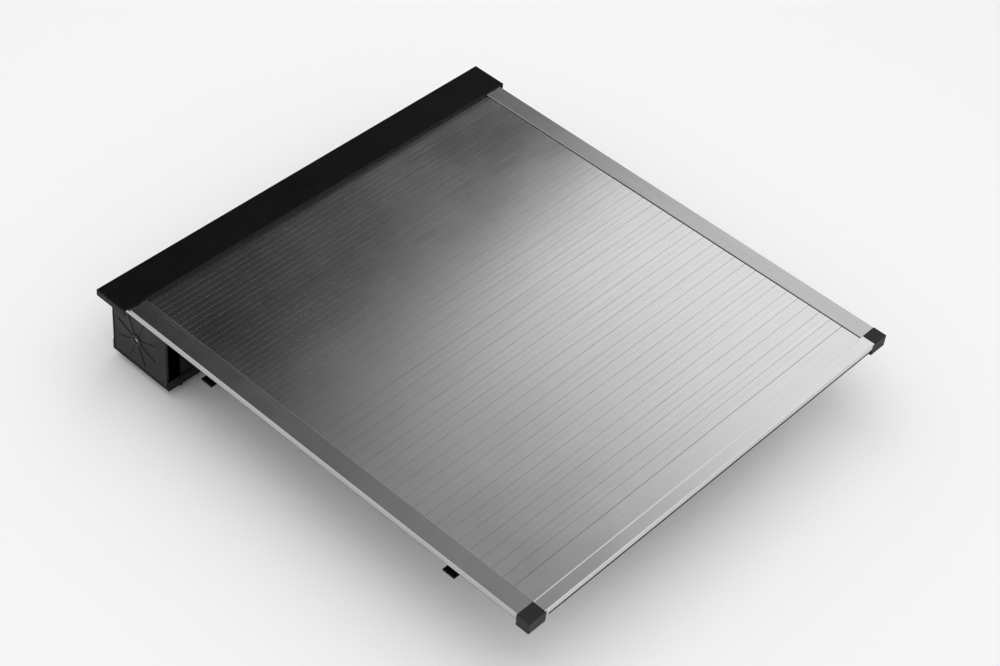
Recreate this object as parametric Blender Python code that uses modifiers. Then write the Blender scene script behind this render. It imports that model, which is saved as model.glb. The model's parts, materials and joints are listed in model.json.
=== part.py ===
"""Roll-up tonneau cover for a pickup bed.

A slatted curtain with an end lath and its latch runs in two side rails and winds onto a spool in the
canister at the cab end.

Frame: +X to the vehicle's right, +Y forward to the cab, +Z up. The origin is on the face that meets
the bed's bulkhead, at mid-width, at the height where the side rails rest on the bed walls. Metres.
"""

import math

import bmesh
import bpy
from mathutils import Matrix, Vector

# ---------------------------------------------------------------- driving dimensions
PITCH = 0.0378              # one slat to the next
SLATS_PER_SECTION = 5
SECTIONS = 7
SECTION_STEP = 0.00012      # each section lies this much lower than the one behind it
SEAM = 0.00025              # half the gap between two slats
HINGE_THICK = 0.0020        # web that joins two slats at their undersides
SLAT_THICK = 0.0095
SLAT_HALF = 0.6840          # half length of a slat, with its ends in the rail channels
SLAT_BOTTOM = 0.0062        # underside of the rearmost section
LATH_FRONT = -1.4590        # front edge of the end lath, curtain closed
LATH_HALF = 0.6655          # between the lips of the rails
LATH_CAP_HALF = 0.6720      # its raised rear part, which runs over the lips
SEAL_HALF = 0.6540          # clear of the rails' gutters
TRAVEL = 1.2280             # the end lath's way from closed to open

LIP_X = 0.6670              # inner edge of the rail's top lip
LIP_UNDER = 0.0172          # a wiper fills the gap between the lip and the slats
RAIL_OUTER_X = 0.7280
RAIL_TOP = 0.0190
RAIL_BOTTOM = -0.0200
RAIL_FRONT = -0.1020
RAIL_REAR = -1.5230
STRIP_FRONT = -0.1400       # the wear strips stop where the curtain starts to bend down
SEAT_INNER_X = 0.7015       # the flange that rests on the bed wall starts here
SLOT_X = 0.6860             # centre of the T-slot under each rail
CAP_REAR = -1.5665

CAN_FRONT = -0.0040
CAN_REAR = -0.2350
CAN_BOTTOM = -0.2250
CAN_HALF = 0.6985
SHEET = 0.0025              # canister sheet thickness
LID_REAR = -0.1150
LID_HALF = 0.7425
LID_UNDER = 0.0193
LID_TOP = 0.0223

TUBE_R = 0.0320
SHAFT_R = 0.0080
ROD_R = 0.0028
ROD_Z = 0.0095
CAM_Y = LATH_FRONT - 0.0345
CAM_THROW = 0.0140          # bolt travel, and radius of the cam pins
ROD_TIP_X = 0.6825          # unlatched; a bolt hole is CAM_THROW away
GAP = 0.0003                # between neighbouring pieces

COLOURS = {
    "slat_aluminium": ((0.62, 0.62, 0.63), 0.34, 1.0),
    "rail_aluminium": ((0.60, 0.60, 0.61), 0.38, 1.0),
    "black_coat": ((0.012, 0.012, 0.012), 0.5, 0.0),
    "black_plastic": ((0.02, 0.02, 0.02), 0.55, 0.0),
    "rubber": ((0.018, 0.018, 0.018), 0.8, 0.0),
    "nylon": ((0.72, 0.71, 0.66), 0.45, 0.0),
    "steel": ((0.55, 0.55, 0.56), 0.3, 1.0),
    "brass": ((0.70, 0.55, 0.28), 0.3, 1.0),
}


# ---------------------------------------------------------------- scene and small tools
def clear_scene():
    for obj in list(bpy.data.objects):
        bpy.data.objects.remove(obj)


def make_materials():
    made = {}
    for name, (colour, roughness, metallic) in COLOURS.items():
        material = bpy.data.materials.new(name)
        material.use_nodes = True
        shader = material.node_tree.nodes["Principled BSDF"]
        shader.inputs["Base Color"].default_value = (*colour, 1.0)
        shader.inputs["Roughness"].default_value = roughness
        shader.inputs["Metallic"].default_value = metallic
        made[name] = material
    return made


clear_scene()
MATERIALS = make_materials()
PARTS = bpy.data.collections.new("tonneau_cover")
CUTTERS = bpy.data.collections.new("cutters")
for collection in (PARTS, CUTTERS):
    bpy.context.scene.collection.children.link(collection)
# the 2D plane of an outline is turned so that its thickness runs along this axis
TURN = {"X": (math.pi / 2, 0, math.pi / 2), "Y": (math.pi / 2, 0, 0), "Z": (0, 0, 0)}


def polygon(centre, radius, count=16, start=0.0):
    """Corners of a regular polygon, as a list of 2D points."""
    step = 2 * math.pi / count
    angles = [start + k * step for k in range(count)]
    return [(centre[0] + radius * math.cos(a), centre[1] + radius * math.sin(a)) for a in angles]


def rectangle(u0, u1, v0, v1):
    return [(u0, v0), (u1, v0), (u1, v1), (u0, v1)]


def mirrored(points):
    return [(-u, v) for u, v in points]


def outline(name, loops, axis, low, high, material, as_mesh=False):
    """A flat outline with holes, drawn across `axis` and extruded from low to high along it.

    Loops are drawn in (y, z) for axis X, in (x, z) for Y and in (x, y) for Z.
    """
    curve = bpy.data.curves.new(name, "CURVE")
    curve.dimensions = "2D"
    curve.fill_mode = "BOTH"
    curve.extrude = (high - low) / 2
    for loop in loops:
        spline = curve.splines.new("POLY")
        spline.points.add(len(loop) - 1)
        for point, (u, v) in zip(spline.points, loop):
            point.co = (u, v, 0, 1)
        spline.use_cyclic_u = True
    obj = bpy.data.objects.new(name, curve)
    obj.rotation_euler = TURN[axis]
    obj.location["XYZ".index(axis)] = (low + high) / 2
    PARTS.objects.link(obj)
    curve.materials.append(MATERIALS[material])
    return solid_mesh(obj) if as_mesh else obj


def solid_mesh(obj):
    """The same shape as a welded mesh in place, ready to be cut."""
    bpy.context.view_layer.update()
    graph = bpy.context.evaluated_depsgraph_get()
    mesh = bpy.data.meshes.new_from_object(obj.evaluated_get(graph))
    cleaned = bmesh.new()
    cleaned.from_mesh(mesh)
    bmesh.ops.remove_doubles(cleaned, verts=cleaned.verts, dist=1e-5)
    cleaned.transform(obj.matrix_world)
    bmesh.ops.recalc_face_normals(cleaned, faces=cleaned.faces)
    cleaned.to_mesh(mesh)
    cleaned.free()
    name = obj.name
    bpy.data.objects.remove(obj)
    new = bpy.data.objects.new(name, mesh)
    PARTS.objects.link(new)
    return new


def cylinder_mesh(radius, length, steps=16):
    mesh = bpy.data.meshes.new("cylinder")
    shape = bmesh.new()
    bmesh.ops.create_cone(
        shape, cap_ends=True, segments=steps, radius1=radius, radius2=radius, depth=length
    )
    shape.to_mesh(mesh)
    shape.free()
    return mesh


def box_mesh(size):
    mesh = bpy.data.meshes.new("box")
    shape = bmesh.new()
    bmesh.ops.create_cube(shape, size=1.0, matrix=Matrix.Diagonal((*size, 1.0)))
    shape.to_mesh(mesh)
    shape.free()
    return mesh


def along(axis):
    """Turns a shape built along Z so that it runs along the named axis."""
    return {
        "X": Matrix.Rotation(math.pi / 2, 4, "Y"),
        "Y": Matrix.Rotation(-math.pi / 2, 4, "X"),
        "Z": Matrix.Identity(4),
    }[axis]


def block(name, size, centre, material):
    """A box in its place."""
    obj = bpy.data.objects.new(name, box_mesh(size))
    obj.location = centre
    obj.data.materials.append(MATERIALS[material])
    PARTS.objects.link(obj)
    return obj


def boolean(obj, mesh, place, operation):
    """Cuts away or joins a mesh at a place, kept in the cutter collection."""
    other = bpy.data.objects.new(f"{obj.name}_{operation.lower()}_{len(obj.modifiers)}", mesh)
    other.matrix_world = place
    other.hide_render = True
    other.display_type = "WIRE"
    CUTTERS.objects.link(other)
    modifier = obj.modifiers.new(operation.lower(), "BOOLEAN")
    modifier.operation = operation
    modifier.object = other
    return obj


def joined_box(obj, size, centre, operation="UNION"):
    return boolean(obj, box_mesh(size), at(*centre), operation)


def drill(obj, point, axis, radius, length, steps=16):
    place = Matrix.Translation(point) @ along(axis)
    return boolean(obj, cylinder_mesh(radius, length, steps), place, "DIFFERENCE")


def turned(name, profile, place, material, closed=False, steps=16):
    """A profile of (radius, height) points swept round an axis: closed=True for a ring."""
    edges = [(k, k + 1) for k in range(len(profile) - 1)]
    if closed:
        edges.append((len(profile) - 1, 0))
    mesh = bpy.data.meshes.new(name)
    mesh.from_pydata([(r, 0, h) for r, h in profile], edges, [])
    obj = bpy.data.objects.new(name, mesh)
    PARTS.objects.link(obj)
    screw = obj.modifiers.new("turn", "SCREW")
    screw.steps = screw.render_steps = steps
    screw.use_merge_vertices = True
    screw.merge_threshold = 0.00005
    screw.use_normal_calculate = True
    turned_obj = solid_mesh(obj)
    turned_obj.data.transform(place)
    turned_obj.data.materials.append(MATERIALS[material])
    turned_obj.data.shade_smooth()
    turned_obj.data.set_sharp_from_angle(angle=math.radians(35))
    return turned_obj


def at(x, y, z):
    return Matrix.Translation((x, y, z))


# ---------------------------------------------------------------- the slatted curtain
SLAT_TOP = [
    (PITCH - SEAM, HINGE_THICK), (PITCH - SEAM, 0.0089), (PITCH - SEAM - 0.0006, SLAT_THICK),
    (PITCH / 2 + 0.0007, SLAT_THICK), (PITCH / 2, SLAT_THICK - 0.0006),
    (PITCH / 2 - 0.0007, SLAT_THICK), (SEAM + 0.0006, SLAT_THICK), (SEAM, 0.0089), (SEAM, HINGE_THICK),
]
SLAT_CHAMBER = rectangle(0.0022, PITCH - 0.0022, 0.0014, 0.0078)


def placed(loop, corner, heading):
    """Points of one slat in the (y, z) plane, at its rear bottom corner and turned to its heading."""
    cosine, sine = math.cos(heading), math.sin(heading)
    y, z = corner
    return [(y + u * cosine - v * sine, z + u * sine + v * cosine) for u, v in loop]


def slat_run(name, corners, headings):
    """Slats end to end, joined by hinge webs at their undersides. Each slat is one hollow chamber."""
    slats = list(zip(corners, headings))
    around = [tuple(corners[0]), *(placed([(PITCH, 0)], *slat)[0] for slat in slats)]
    holes = []
    for corner, heading in reversed(slats):
        around += placed(SLAT_TOP, corner, heading)
        holes.append(placed(SLAT_CHAMBER, corner, heading))
    return outline(name, [around, *holes], "X", -SLAT_HALF, SLAT_HALF, "slat_aluminium")


def section_bottom(index):
    return SLAT_BOTTOM - (SECTIONS - 1 - index) * SECTION_STEP


def build_curtain():
    """Seven flat sections. Section 1 is next to the canister and section 7 next to the end lath."""
    for index in range(SECTIONS):
        rear = LATH_FRONT + (SECTIONS - 1 - index) * SLATS_PER_SECTION * PITCH
        corners = [(rear + k * PITCH, section_bottom(index)) for k in range(SLATS_PER_SECTION)]
        slat_run(f"curtain_section_{index + 1}", corners, [0.0] * SLATS_PER_SECTION)


def lead_path():
    """Rear bottom corner and heading of each slat between the flat curtain and the spool."""
    headings = [math.radians(a) for a in (-3, -36, -70, -96, -106, -130, -190, -250, -310)]
    corner = Vector((LATH_FRONT + SECTIONS * SLATS_PER_SECTION * PITCH + GAP, section_bottom(-1)))
    corners = []
    for heading in headings:
        corners.append(tuple(corner))
        corner += PITCH * Vector((math.cos(heading), math.sin(heading)))
    return corners, headings


def spool_centre(corners, headings, first_wrapped):
    """The wrapped slats touch the spool tube at their middles."""
    apothem = PITCH / 2 / math.tan(math.radians(30))
    heading = headings[first_wrapped]
    forward = Vector((math.cos(heading), math.sin(heading)))
    inward = Vector((forward.y, -forward.x))
    return Vector(corners[first_wrapped]) + forward * PITCH / 2 + inward * apothem


LEAD_CORNERS, LEAD_HEADINGS = lead_path()
FIRST_WRAPPED = 5
SPOOL_Y, SPOOL_Z = spool_centre(LEAD_CORNERS, LEAD_HEADINGS, FIRST_WRAPPED)


def build_lead():
    """The slats that bend down to the spool, and those already wrapped round it."""
    cut = FIRST_WRAPPED
    slat_run("curtain_lead", LEAD_CORNERS[:cut], LEAD_HEADINGS[:cut])
    start = [Vector(corner) + Vector((0, -GAP)) for corner in LEAD_CORNERS[cut:]]
    slat_run("curtain_wrapped", start, LEAD_HEADINGS[cut:])


# ---------------------------------------------------------------- end lath and its latch
def lath_loop(points):
    """Lath outlines are drawn as (distance behind the front edge, z)."""
    return [(LATH_FRONT - s, z) for s, z in points]


LATH_UNDER = 0.0020
LATH_CAP_UNDER = RAIL_TOP + 0.0004
LATH_STEP = 0.0650          # where the top steps up, behind the front edge
LATH_CAP_TOP = [
    (LATH_STEP, 0.0203), (LATH_STEP + 0.0008, 0.0221), (LATH_STEP + 0.0018, 0.0226),
    (LATH_STEP + 0.0030, 0.0225), (LATH_STEP + 0.0050, 0.0214), (0.1035, 0.0214), (0.1054, 0.0208),
    (0.1065, 0.0196),
]


def build_end_lath():
    """A hollow profile whose rear part rises over the rails' lips, with a plug in each rail channel."""
    low, high = SLAT_BOTTOM, SLAT_BOTTOM + SLAT_THICK
    shell = [
        (SEAM, low), (SEAM, high - 0.0006), (SEAM + 0.0006, high),
        (LATH_STEP - 0.0006, high + 0.0003), *LATH_CAP_TOP,
        (0.1065, 0.0040), (0.1045, LATH_UNDER), (0.0110, LATH_UNDER), (0.0070, low),
    ]
    rod_chamber = rectangle(0.0100, 0.0590, 0.0045, 0.0132)
    nose_chamber = [(0.0675, 0.0045), (0.1035, 0.0045), (0.1035, 0.0180), (0.0675, 0.0200)]
    loops = [lath_loop(points) for points in (shell, rod_chamber, nose_chamber)]
    metal = "slat_aluminium"
    lath = outline("end_lath", loops, "X", -LATH_HALF, LATH_HALF, metal, as_mesh=True)
    raised = [lath_loop([(LATH_STEP, LATH_CAP_UNDER), *LATH_CAP_TOP, (0.1065, LATH_CAP_UNDER)])]
    cap = outline("lath_cap", raised, "X", -LATH_CAP_HALF, LATH_CAP_HALF, metal, as_mesh=True)
    boolean(lath, cap.data, Matrix.Identity(4), "UNION")
    bpy.data.objects.remove(cap)
    joined_box(lath, (0.044, 0.038, 0.010), (0, CAM_Y, 0.0), "DIFFERENCE")

    plug = rectangle(LATH_FRONT - 0.0610, LATH_FRONT - 0.0010, low, high)
    bore = polygon((CAM_Y, ROD_Z), ROD_R + GAP, 12)
    for side, suffix in ((-1, "left"), (1, "right")):
        ends = sorted((side * (LATH_HALF + GAP), side * SLAT_HALF))
        outline(f"lath_end_plug_{suffix}", [plug, bore], "X", *ends, "black_plastic")

    lip = [
        (0.0880, 0.0017), (0.1000, 0.0017), (0.1060, -0.0050), (0.1046, -0.0064), (0.0975, -0.0022),
        (0.0880, -0.0022),
    ]
    outline("tailgate_seal", [lath_loop(lip)], "X", -SEAL_HALF, SEAL_HALF, "rubber")


HOUSING_HALF = (0.058, 0.026)
HOUSING_TOP = LATH_UNDER - GAP
HOUSING_SPLIT = -0.0050
HOUSING_BOTTOM = -0.0110
HANDLE_Z = (-0.0290, HOUSING_BOTTOM - 0.0006)   # bottom and top of the handle's boss
HANDLE_SWING = math.radians(60)


def build_latch():
    """Turn handle under the lath: the pins of its cam drive two rods out into the side rails."""
    across, deep = HOUSING_HALF
    rim = rectangle(-across, across, CAM_Y - deep, CAM_Y + deep)
    screw_x = 0.0480
    holes = [polygon((side * screw_x, CAM_Y), 0.0024, 10) for side in (-1, 1)]
    cavity = polygon((0, CAM_Y), 0.0220, 24)
    outline("latch_housing", [rim, cavity, *holes], "Z", HOUSING_SPLIT, HOUSING_TOP, "black_plastic")
    spindle_hole = polygon((0, CAM_Y), 0.0063, 16)
    cover = [rim, spindle_hole, *holes]
    outline("latch_cover", cover, "Z", HOUSING_BOTTOM, HOUSING_SPLIT - GAP, "black_plastic")
    under = HOUSING_BOTTOM - GAP
    screw = [
        (0, 0.0012), (0.0020, 0.0012), (0.0020, under), (0.0042, under), (0.0036, under - 0.0022),
        (0, under - 0.0022),
    ]
    for side, suffix in ((-1, "left"), (1, "right")):
        turned(f"latch_screw_{suffix}", screw, at(side * screw_x, CAM_Y, 0), "steel", steps=12)

    disc = [polygon((0, CAM_Y), 0.0185, 24)]
    cam = outline("latch_cam", disc, "Z", -0.0035, 0.0005, "steel", as_mesh=True)
    for side in (-1, 1):
        pin = at(-side * CAM_THROW / 2, CAM_Y + side * CAM_THROW * math.cos(HANDLE_SWING / 2), 0.0046)
        boolean(cam, cylinder_mesh(0.0020, 0.0130, 12), pin, "UNION")

    bottom, top = HANDLE_Z
    boss = [polygon((0, CAM_Y), 0.0130, 24)]
    handle = outline("turn_handle", boss, "Z", bottom, top, "black_plastic", as_mesh=True)
    grip = at(0, CAM_Y, bottom + 0.0070) @ Matrix.Rotation(HANDLE_SWING / 2, 4, "Z")
    boolean(handle, box_mesh((0.084, 0.0150, 0.0095)), grip, "UNION")
    boolean(handle, cylinder_mesh(0.0060, 0.0090, 16), at(0, CAM_Y, -0.0083), "UNION")
    drill(handle, (0, CAM_Y, bottom), "Z", 0.0083, 0.0240, 16)
    barrel = [polygon((0, CAM_Y), 0.0080, 16)]
    ends = (bottom - 0.0012, bottom + 0.0117)
    lock = outline("lock_cylinder", barrel, "Z", *ends, "brass", as_mesh=True)
    joined_box(lock, (0.0016, 0.0090, 0.0120), (0, CAM_Y, bottom - 0.0012), "DIFFERENCE")

    yoke = [
        (-0.0125, 0.0078), (0.0120, 0.0078), (0.0120, -0.0035), (0.0260, -0.0035), (0.0260, 0.0195),
        (-0.0125, 0.0195),
    ]
    pin_slot = rectangle(-0.0095, -0.0045, 0.0098, 0.0165)
    for side, suffix in ((-1, "left"), (1, "right")):
        loops = [[(side * x, CAM_Y + side * y) for x, y in loop] for loop in (yoke, pin_slot)]
        rod = outline(f"latch_rod_{suffix}", loops, "Z", 0.0075, 0.0115, "steel", as_mesh=True)
        start = 0.0230
        middle = at(side * (start + ROD_TIP_X) / 2, CAM_Y, ROD_Z)
        boolean(rod, cylinder_mesh(ROD_R, ROD_TIP_X - start, 12), middle @ along("X"), "UNION")


# ---------------------------------------------------------------- side rails
RAIL_LOOP = [
    # lip and top, with a shallow groove
    (LIP_X, LIP_UNDER), (LIP_X, 0.0182), (LIP_X + 0.0008, RAIL_TOP), (0.6880, RAIL_TOP),
    (0.6900, 0.0180), (0.7080, 0.0180), (0.7100, RAIL_TOP), (0.7250, RAIL_TOP), (RAIL_OUTER_X, 0.0160),
    # seat flange and T-slot
    (RAIL_OUTER_X, 0.0030), (SEAT_INNER_X, 0.0030), (SEAT_INNER_X, RAIL_BOTTOM),
    (0.6905, RAIL_BOTTOM), (0.6905, -0.0170), (0.6985, -0.0170), (0.6985, -0.0005),
    (0.6735, -0.0005), (0.6735, -0.0170), (0.6815, -0.0170), (0.6815, RAIL_BOTTOM),
    # gutter and channel for the slats
    (0.6705, RAIL_BOTTOM), (0.6705, -0.0060), (0.6560, -0.0060), (0.6560, 0.0010),
    (0.6575, 0.0010), (0.6575, -0.0040), (0.6665, -0.0040), (0.6665, 0.0025),
    (0.6900, 0.0025), (0.6900, LIP_UNDER),
]
RAIL_HOLLOW = (0.6925, 0.7255, 0.0055, 0.0165)
TONGUE = (0.6935, 0.7245, 0.0065, 0.0155)       # what plugs into the hollow at each end of a rail
LATCH_STOPS = 4             # rod holes per rail, from closed to fully open
CLAMP_Y = (-0.42, -1.30)


def side_loops(loops, side):
    return loops if side > 0 else [mirrored(loop) for loop in loops]


def add_tongue(obj, side, y0, y1):
    x0, x1, z0, z1 = TONGUE
    middle = (side * (x0 + x1) / 2, (y0 + y1) / 2, (z0 + z1) / 2)
    joined_box(obj, (x1 - x0, y1 - y0, z1 - z0), middle)


def build_rail(side, suffix):
    loops = side_loops([RAIL_LOOP, rectangle(*RAIL_HOLLOW)], side)
    name = f"side_rail_{suffix}"
    rail = outline(name, loops, "Y", RAIL_REAR, RAIL_FRONT, "rail_aluminium", as_mesh=True)
    for stop in range(LATCH_STOPS):
        hole_y = CAM_Y + TRAVEL * stop / (LATCH_STOPS - 1)
        drill(rail, (side * 0.6912, hole_y, ROD_Z), "X", 0.0034, 0.0040, 12)

    low, high = RAIL_BOTTOM + 0.0005, RAIL_TOP
    depth = RAIL_REAR - GAP - CAP_REAR
    middle = (side * (LIP_X + RAIL_OUTER_X) / 2, CAP_REAR + depth / 2, (low + high) / 2)
    size = (RAIL_OUTER_X - LIP_X, depth, high - low)
    cap = block(f"rail_end_cap_{suffix}", size, middle, "black_plastic")
    edges = cap.modifiers.new("edges", "BEVEL")
    edges.width = 0.0015
    edges.segments = 2
    add_tongue(cap, side, RAIL_REAR - 0.0100, RAIL_REAR + 0.0250)

    seal = side_loops([rectangle(0.7030, 0.7270, 0.0, 0.0027)], side)
    outline(f"rail_foam_seal_{suffix}", seal, "Y", RAIL_REAR, RAIL_FRONT, "rubber")
    strip = side_loops([rectangle(0.6680, 0.6855, 0.0028, 0.0050)], side)
    outline(f"rail_wear_strip_{suffix}", strip, "Y", RAIL_REAR, STRIP_FRONT, "nylon")


def build_clamp(side, suffix, y):
    """A bracket that grips the bed wall's flange from below, on a T-bolt in the rail's slot."""
    top, foot, sole = RAIL_BOTTOM - GAP, -0.0280, -0.0340
    loop = [(0.6705, top), (0.7012, top), (0.7012, foot), (0.7260, foot), (0.7260, sole), (0.6705, sole)]
    loops = side_loops([loop], side)
    name = f"clamp_bracket_{suffix}"
    bracket = outline(name, loops, "Y", y - 0.020, y + 0.020, "black_coat", as_mesh=True)
    drill(bracket, (side * SLOT_X, y, sole), "Z", 0.0034, 0.0400, 12)
    place = (side * SLOT_X, y, -0.0142)
    head = block(f"clamp_bolt_{suffix}", (0.0220, 0.0180, 0.0050), place, "steel")
    shank = at(side * SLOT_X, y, -0.0270)
    boolean(head, cylinder_mesh(0.0030, 0.0280, 12), shank, "UNION")
    hexagon = polygon((side * SLOT_X, y), 0.0058, 6)
    bore = polygon((side * SLOT_X, y), 0.0030 + GAP, 12)
    outline(f"clamp_nut_{suffix}", [hexagon, bore], "Z", sole - GAP - 0.0050, sole - GAP, "steel")


def build_sides():
    for side, suffix in ((-1, "left"), (1, "right")):
        build_rail(side, suffix)
        for number, y in enumerate(CLAMP_Y):
            build_clamp(side, f"{suffix}_{('front', 'rear')[number]}", y)


# ---------------------------------------------------------------- canister and spool
DRAIN_X, DRAIN_Y = 0.640, -0.212
WALL_FOOT = 0.0350          # height of the pan's turned-up edges


def build_end_plate(side, suffix, front, rear, base):
    """Closes the canister's end, carries the spool shaft and plugs into the rail."""
    neck = RAIL_FRONT + 0.0015
    shelf = RAIL_BOTTOM - GAP
    loop = [
        (rear, base), (front, base), (front, 0.0160), (-0.0310, 0.0160), (-0.0310, RAIL_TOP),
        (neck, RAIL_TOP), (neck, shelf), (rear, shelf),
    ]
    shaft_hole = polygon((SPOOL_Y, SPOOL_Z), SHAFT_R + GAP, 16)
    ends = sorted((side * 0.6925, side * CAN_HALF))
    name = f"canister_end_plate_{suffix}"
    plate = outline(name, [loop, shaft_hole], "X", *ends, "black_plastic", as_mesh=True)
    add_tongue(plate, side, neck - 0.0260, neck + 0.0080)


def build_canister():
    front, rear, low = CAN_FRONT - SHEET - GAP, CAN_REAR + SHEET + GAP, CAN_BOTTOM
    edge = low + WALL_FOOT
    tray = [
        (CAN_REAR, low), (CAN_FRONT, low), (CAN_FRONT, edge), (CAN_FRONT - SHEET, edge),
        (CAN_FRONT - SHEET, low + SHEET), (CAN_REAR + SHEET, low + SHEET), (CAN_REAR + SHEET, edge),
        (CAN_REAR, edge),
    ]
    pan = outline("canister_bottom_pan", [tray], "X", -CAN_HALF, CAN_HALF, "black_coat", as_mesh=True)
    for side in (-1, 1):
        drill(pan, (side * DRAIN_X, DRAIN_Y, low), "Z", 0.0070, 0.0200)

    base = low + SHEET + GAP
    wall = [
        (front, base), (front, 0.0187), (-0.0300, 0.0187), (-0.0300, 0.0165), (front - SHEET, 0.0165),
        (front - SHEET, base),
    ]
    outline("canister_front_panel", [wall], "X", -CAN_HALF, CAN_HALF, "black_coat")
    wall = [
        (rear, base), (rear, -0.0030), (rear + 0.0150, -0.0030), (rear + 0.0150, -0.0052),
        (rear + SHEET, -0.0052), (rear + SHEET, base),
    ]
    outline("canister_rear_panel", [wall], "X", -0.6540, 0.6540, "black_coat")
    bar = [
        (-0.2300, -0.0027), (-0.2190, -0.0027), (-0.2190, 0.0022), (-0.2206, 0.0038), (-0.2284, 0.0038),
        (-0.2300, 0.0022),
    ]
    outline("mouth_guide_bar", [bar], "X", -0.6500, 0.6500, "nylon")
    for side, suffix in ((-1, "left"), (1, "right")):
        build_end_plate(side, suffix, front - SHEET - GAP, rear + SHEET + GAP, base)

    skirt = LID_HALF - 0.0030
    lid = [
        (-LID_HALF, 0.0010), (-skirt, 0.0010), (-skirt, LID_UNDER), (skirt, LID_UNDER), (skirt, 0.0010),
        (LID_HALF, 0.0010), (LID_HALF, LID_TOP - 0.0015), (LID_HALF - 0.0015, LID_TOP),
        (-LID_HALF + 0.0015, LID_TOP), (-LID_HALF, LID_TOP - 0.0015),
    ]
    outline("canister_lid", [lid], "Y", LID_REAR, -0.0005, "black_coat")
    brush = rectangle(-0.1145, -0.1065, 0.0161, 0.0190)
    outline("mouth_brush_seal", [brush], "X", -0.6655, 0.6655, "rubber")
    strip = rectangle(CAN_FRONT - SHEET, 0.0, -0.0180, 0.0080)
    outline("bulkhead_seal", [strip], "X", -0.6500, 0.6500, "rubber")

    top, end = low - GAP, low - 0.0250
    spigot = [
        (0.0160, top), (0.0160, top - 0.0030), (0.0090, top - 0.0030), (0.0090, end), (0.0065, end),
        (0.0065, top),
    ]
    for side, suffix in ((-1, "left"), (1, "right")):
        place = at(side * DRAIN_X, DRAIN_Y, 0)
        turned(f"drain_spigot_{suffix}", spigot, place, "black_plastic", closed=True)


def ring(name, outer, inner, low, high, material, steps=24):
    """A ring on the spool's axis, between two distances along X."""
    low, high = sorted((low, high))
    profile = [(outer, high), (outer, low), (inner, low), (inner, high)]
    place = at(0, SPOOL_Y, SPOOL_Z) @ along("X")
    return turned(name, profile, place, material, closed=True, steps=steps)


def build_spool():
    """The tube turns on two hubs round a fixed shaft, and the spring inside it winds the curtain in."""
    axis = (SPOOL_Y, SPOOL_Z)
    shaft_end = CAN_HALF - GAP
    outline("spool_shaft", [polygon(axis, SHAFT_R, 16)], "X", -shaft_end, shaft_end, "steel")
    tube = [polygon(axis, TUBE_R, 30), polygon(axis, TUBE_R - 0.0030, 30)]
    outline("spool_tube", tube, "X", -0.6600, 0.6600, "rail_aluminium")
    for side, suffix in ((-1, "left"), (1, "right")):
        name, reach = f"spool_hub_{suffix}", (side * 0.6450, side * 0.6597)
        ring(name, TUBE_R - 0.0038, SHAFT_R + GAP, *reach, "black_plastic")
    ring("spring_anchor", 0.0160, SHAFT_R + GAP, 0.2800, 0.2950, "steel", 12)

    turns, steps, mean_r, start, end = 16, 8, 0.0175, 0.3000, 0.6400
    spring = bpy.data.curves.new("torsion_spring", "CURVE")
    spring.dimensions = "3D"
    spring.bevel_depth = 0.0018
    spring.bevel_resolution = 1
    spring.use_fill_caps = True
    coil = spring.splines.new("POLY")
    coil.points.add(turns * steps)
    for k, point in enumerate(coil.points):
        angle = 2 * math.pi * k / steps
        x = start + (end - start) * k / (turns * steps)
        point.co = (x, mean_r * math.cos(angle), mean_r * math.sin(angle), 1)
    spring.materials.append(MATERIALS["steel"])
    obj = bpy.data.objects.new("torsion_spring", spring)
    obj.location = (0, SPOOL_Y, SPOOL_Z)
    PARTS.objects.link(obj)


build_curtain()
build_lead()
build_end_lath()
build_latch()
build_sides()
build_canister()
build_spool()
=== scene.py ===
"""The looks of the roll-up tonneau cover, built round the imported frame.

Everything is in the frame's own metres: +X to the vehicle's right, +Y to the cab, +Z up.
"""

import json
import math

import bmesh
import bpy
from mathutils import Matrix, Vector


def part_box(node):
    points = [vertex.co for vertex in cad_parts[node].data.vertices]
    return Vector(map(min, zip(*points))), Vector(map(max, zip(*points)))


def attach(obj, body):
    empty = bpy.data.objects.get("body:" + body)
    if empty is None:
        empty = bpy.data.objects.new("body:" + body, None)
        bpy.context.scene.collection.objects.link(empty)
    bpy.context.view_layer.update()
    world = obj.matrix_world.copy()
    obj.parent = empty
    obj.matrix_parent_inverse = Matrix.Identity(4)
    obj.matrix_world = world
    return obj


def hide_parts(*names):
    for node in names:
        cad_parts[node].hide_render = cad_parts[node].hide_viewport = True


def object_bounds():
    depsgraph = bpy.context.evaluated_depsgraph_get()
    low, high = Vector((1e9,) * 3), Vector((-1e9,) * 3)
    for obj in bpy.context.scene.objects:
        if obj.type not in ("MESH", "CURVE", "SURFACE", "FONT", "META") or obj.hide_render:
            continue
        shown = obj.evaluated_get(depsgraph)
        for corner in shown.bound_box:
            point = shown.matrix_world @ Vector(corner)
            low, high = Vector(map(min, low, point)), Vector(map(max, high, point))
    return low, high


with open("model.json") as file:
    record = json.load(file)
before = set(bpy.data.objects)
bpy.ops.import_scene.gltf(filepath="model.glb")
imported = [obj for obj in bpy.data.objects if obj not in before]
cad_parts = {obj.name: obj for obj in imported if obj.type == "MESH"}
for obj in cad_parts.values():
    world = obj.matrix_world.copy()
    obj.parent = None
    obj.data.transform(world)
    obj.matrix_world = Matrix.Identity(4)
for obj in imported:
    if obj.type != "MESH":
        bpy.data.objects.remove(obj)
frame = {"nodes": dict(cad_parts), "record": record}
CAD_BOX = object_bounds()
NODES = frame["nodes"]
SLOT_OF = {row["node"]: row["material_slot"] for row in frame["record"]["subparts"]}
BODY_OF = {
    node: body for body, nodes in frame["record"]["behaviour"]["bodies"].items() for node in nodes
}
SIDES = ((-1, "left"), (1, "right"))
CLAMP_X = 0.6860
CLAMPS = [
    (side, f"{name}_{end}", y) for side, name in SIDES for end, y in (("front", -0.42), ("rear", -1.30))
]


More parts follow.
